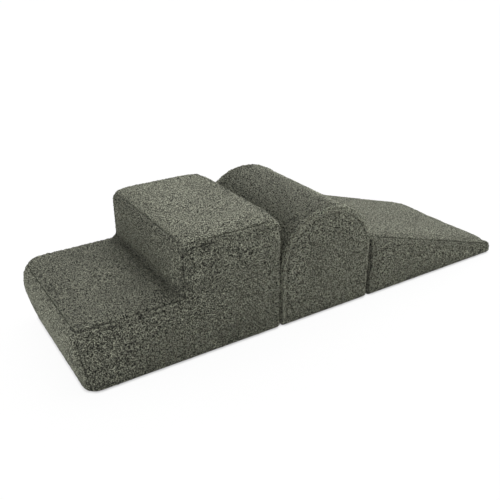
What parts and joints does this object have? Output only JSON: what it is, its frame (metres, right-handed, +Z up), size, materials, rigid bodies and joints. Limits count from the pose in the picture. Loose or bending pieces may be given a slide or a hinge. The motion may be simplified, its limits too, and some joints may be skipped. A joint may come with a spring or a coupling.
{
  "type": "soft play foam climber",
  "caption": "Foam climbing set for small children: a two-step block, a half-round hump and a wedge ramp in a row, in zipped boucle covers.",
  "frame": {"origin": "on the floor, under the middle of the row of three blocks at rest", "axes": "+X along the row from the low step to the tip of the ramp, +Y to the far side away from the viewer of the picture, +Z up"},
  "size_m": [1.2768, 0.407, 0.2975],
  "materials": {
    "boucle": "olive-sage teddy boucle with tight curls",
    "base_cloth": "plain woven cloth, darker olive",
    "foam": null,
    "zip_tape": "woven tape",
    "zip_teeth": "moulded plastic",
    "zip_metal": "dull metal"
  },
  "bodies": {
    "stairs": {"stair_foam_slab": "foam", "stair_foam_upper_block": "foam", "stair_near_side_panel": "boucle", "stair_far_side_panel": "boucle", "stair_tall_end_panel": "boucle", "stair_upper_tread_panel": "boucle", "stair_riser_panel": "boucle", "stair_low_tread_panel": "boucle", "stair_low_end_panel": "boucle", "stair_base_near_panel": "base_cloth", "stair_base_far_panel": "base_cloth", "stair_zip_near_tape": "zip_tape", "stair_zip_far_tape": "zip_tape", "stair_zip_near_teeth": "zip_teeth", "stair_zip_far_teeth": "zip_teeth", "stair_zip_near_top_stop": "zip_metal", "stair_zip_far_top_stop": "zip_metal", "stair_zip_bottom_stop": "zip_metal"},
    "stair_slider": {"stair_zip_slider": "zip_metal"},
    "hump": {"hump_foam_core": "foam", "hump_near_side_panel": "boucle", "hump_far_side_panel": "boucle", "hump_arch_panel": "boucle", "hump_base_left_panel": "base_cloth", "hump_base_right_panel": "base_cloth", "hump_zip_left_tape": "zip_tape", "hump_zip_right_tape": "zip_tape", "hump_zip_left_teeth": "zip_teeth", "hump_zip_right_teeth": "zip_teeth", "hump_zip_left_top_stop": "zip_metal", "hump_zip_right_top_stop": "zip_metal", "hump_zip_bottom_stop": "zip_metal"},
    "hump_slider": {"hump_zip_slider": "zip_metal"},
    "wedge": {"wedge_foam_core": "foam", "wedge_near_side_panel": "boucle", "wedge_far_side_panel": "boucle", "wedge_slope_panel": "boucle", "wedge_high_end_panel": "boucle", "wedge_base_near_panel": "base_cloth", "wedge_base_far_panel": "base_cloth", "wedge_zip_near_tape": "zip_tape", "wedge_zip_far_tape": "zip_tape", "wedge_zip_near_teeth": "zip_teeth", "wedge_zip_far_teeth": "zip_teeth", "wedge_zip_near_top_stop": "zip_metal", "wedge_zip_far_top_stop": "zip_metal", "wedge_zip_bottom_stop": "zip_metal"},
    "wedge_slider": {"wedge_zip_slider": "zip_metal"}
  },
  "joints": [
    {"name": "hump_slides_away", "type": "slide", "parent": "stairs", "child": "hump", "axis": [1, 0, 0], "range_m": [0, 0.3]},
    {"name": "wedge_slides_away", "type": "slide", "parent": "hump", "child": "wedge", "axis": [1, 0, 0], "range_m": [0, 0.3]},
    {"name": "stair_zip_opens", "type": "slide", "parent": "stairs", "child": "stair_slider", "axis": [-1, 0, 0], "range_m": [0, 0.39], "deforming": ["stair_zip_near_teeth", "stair_zip_far_teeth"]},
    {"name": "hump_zip_opens", "type": "slide", "parent": "hump", "child": "hump_slider", "axis": [0, -1, 0], "range_m": [0, 0.29], "deforming": ["hump_zip_left_teeth", "hump_zip_right_teeth"]},
    {"name": "wedge_zip_opens", "type": "slide", "parent": "wedge", "child": "wedge_slider", "axis": [-1, 0, 0], "range_m": [0, 0.37], "deforming": ["wedge_zip_near_teeth", "wedge_zip_far_teeth"]}
  ]
}
